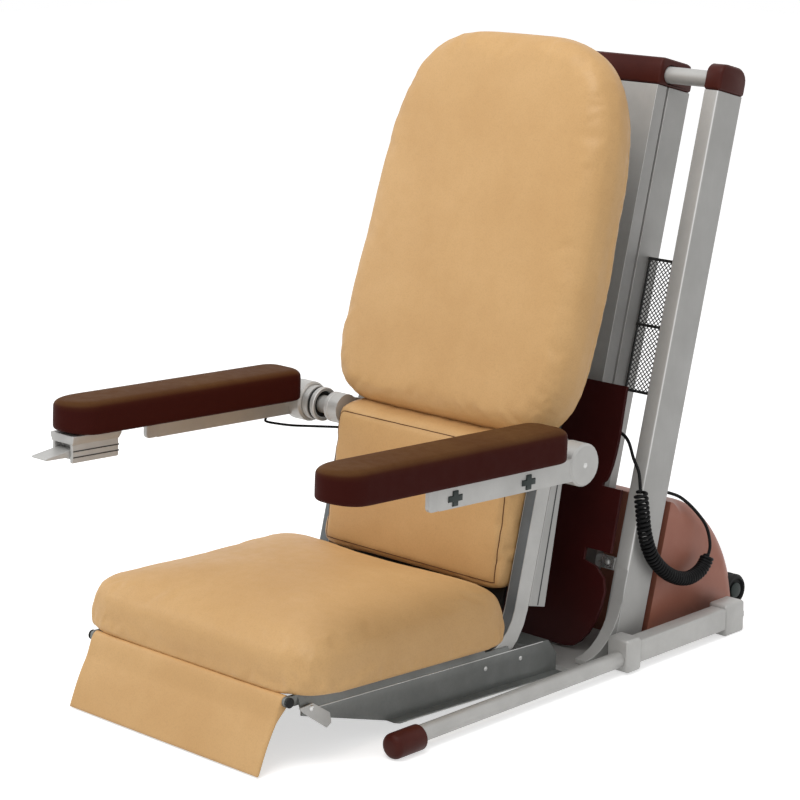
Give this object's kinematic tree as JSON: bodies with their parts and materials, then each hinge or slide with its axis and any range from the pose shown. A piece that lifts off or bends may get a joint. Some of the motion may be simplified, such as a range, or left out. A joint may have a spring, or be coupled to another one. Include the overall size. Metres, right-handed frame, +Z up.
{
  "type": "lift floor chair",
  "caption": "Powered floor chair whose cushioned seat and back climb a leaning mast on a low railed base, with flip-up arms and a hanging leg flap",
  "frame": {"origin": "on the floor, at the middle of the chair's width and depth", "axes": "+Z up, the sitter faces -Y, +X is the sitter's left"},
  "size_m": [0.628, 1.053, 0.9339],
  "materials": {
    "tan_leather": "smooth tan covering with a soft sheen",
    "brown_pad": "dark brown moulded foam",
    "dark_shield": "dark red-brown moulded sheet",
    "brown_cap": "red-brown moulded plastic",
    "red_brown_cover": "red-brown moulded plastic",
    "silver_aluminium": "satin anodised extrusion",
    "silver_paint": "silver grey powder coat",
    "dark_grey_paint": "dark grey coat on sheet steel",
    "steel": "turned steel",
    "dark_mesh": "dark coat on expanded mesh",
    "black_rubber": "matt black rubber",
    "black_plastic": "matt black plastic",
    "glide_plastic": "pale acetal"
  },
  "bodies": {
    "base": {"rail_cap_left": "brown_cap", "rail_cap_right": "brown_cap", "column_cap_left": "brown_cap", "column_cap_right": "brown_cap", "mast_cap": "brown_cap", "motor_cover": "red_brown_cover", "mast": "silver_aluminium", "column_left": "silver_aluminium", "column_right": "silver_aluminium", "base_plate": "silver_paint", "top_bar": "silver_paint", "rail_tube_left": "silver_paint", "rail_tube_right": "silver_paint", "rail_socket_left": "silver_paint", "rail_socket_right": "silver_paint", "rear_bar_left": "silver_paint", "rear_bar_right": "silver_paint", "rear_cap_left": "silver_paint", "rear_cap_right": "silver_paint", "column_gusset_left": "silver_paint", "column_gusset_right": "silver_paint", "screw_bearing": "steel", "wheel_axle": "steel", "mesh_screen_left": "dark_mesh", "mesh_screen_right": "dark_mesh", "gear_motor": "black_plastic", "curly_cord": "black_plastic", "column_gland": "black_plastic"},
    "carriage": {"seat_cushion": "tan_leather", "back_cushion": "tan_leather", "lumbar_pad": "tan_leather", "carriage_shield": "dark_shield", "back_post_left": "silver_aluminium", "back_post_right": "silver_aluminium", "carriage_plate": "silver_paint", "carriage_arm_left": "silver_paint", "carriage_arm_right": "silver_paint", "side_frame_left": "silver_paint", "side_frame_right": "silver_paint", "arm_hinge_left": "silver_paint", "arm_hinge_right": "silver_paint", "seat_pan": "dark_grey_paint", "lumbar_plate": "dark_grey_paint", "back_board": "dark_grey_paint", "flap_rod": "steel", "arm_cable": "black_plastic", "carriage_gland": "black_plastic", "drive_nut": "glide_plastic", "glide_strip_left": "glide_plastic", "glide_strip_right": "glide_plastic"},
    "screw": {"lead_screw": "steel"},
    "wheel_left": {"wheel_left": "black_rubber"},
    "wheel_right": {"wheel_right": "black_rubber"},
    "flap": {"leg_flap": "tan_leather"},
    "arm_left": {"arm_bar_left": "silver_paint", "arm_pad_left": "brown_pad"},
    "arm_right": {"arm_bar_right": "silver_paint", "arm_pad_right": "brown_pad", "switch_box": "silver_paint"},
    "paddle": {"switch_paddle": "silver_paint"}
  },
  "joints": [
    {"name": "lift", "type": "slide", "parent": "base", "child": "carriage", "axis": [0, 0.2588, 0.9659], "range_m": [0, 0.43], "deforming": ["curly_cord"]},
    {"name": "screw_spin", "type": "hinge", "parent": "base", "child": "screw", "pos_m": [0, 0.20715, -0.01287], "axis": [0, 0.2588, 0.9659], "continuous": true},
    {"name": "arm_left", "type": "hinge", "parent": "carriage", "child": "arm_left", "pos_m": [0.293, 0.03498, 0.35], "axis": [-1, 0, 0], "range_deg": [0, 105]},
    {"name": "arm_right", "type": "hinge", "parent": "carriage", "child": "arm_right", "pos_m": [-0.293, 0.03498, 0.35], "axis": [-1, 0, 0], "range_deg": [0, 105], "deforming": ["arm_cable"]},
    {"name": "paddle", "type": "hinge", "parent": "arm_right", "child": "paddle", "pos_m": [-0.277, -0.45545, 0.35881], "axis": [1, 0, 0], "range_deg": [-8, 8], "stiffness_Nm_per_rad": 0.5},
    {"name": "flap", "type": "hinge", "parent": "carriage", "child": "flap", "pos_m": [0, -0.47147, 0.09728], "axis": [1, 0, 0], "range_deg": [-62, 28]},
    {"name": "wheel_left", "type": "hinge", "parent": "base", "child": "wheel_left", "pos_m": [0.2185, 0.50048, 0.0385], "axis": [1, 0, 0], "continuous": true},
    {"name": "wheel_right", "type": "hinge", "parent": "base", "child": "wheel_right", "pos_m": [-0.2185, 0.50048, 0.0385], "axis": [1, 0, 0], "continuous": true}
  ],
  "couplings": [
    {"joint": "screw_spin", "follows": "lift", "rad_per_m": 314.16}
  ]
}
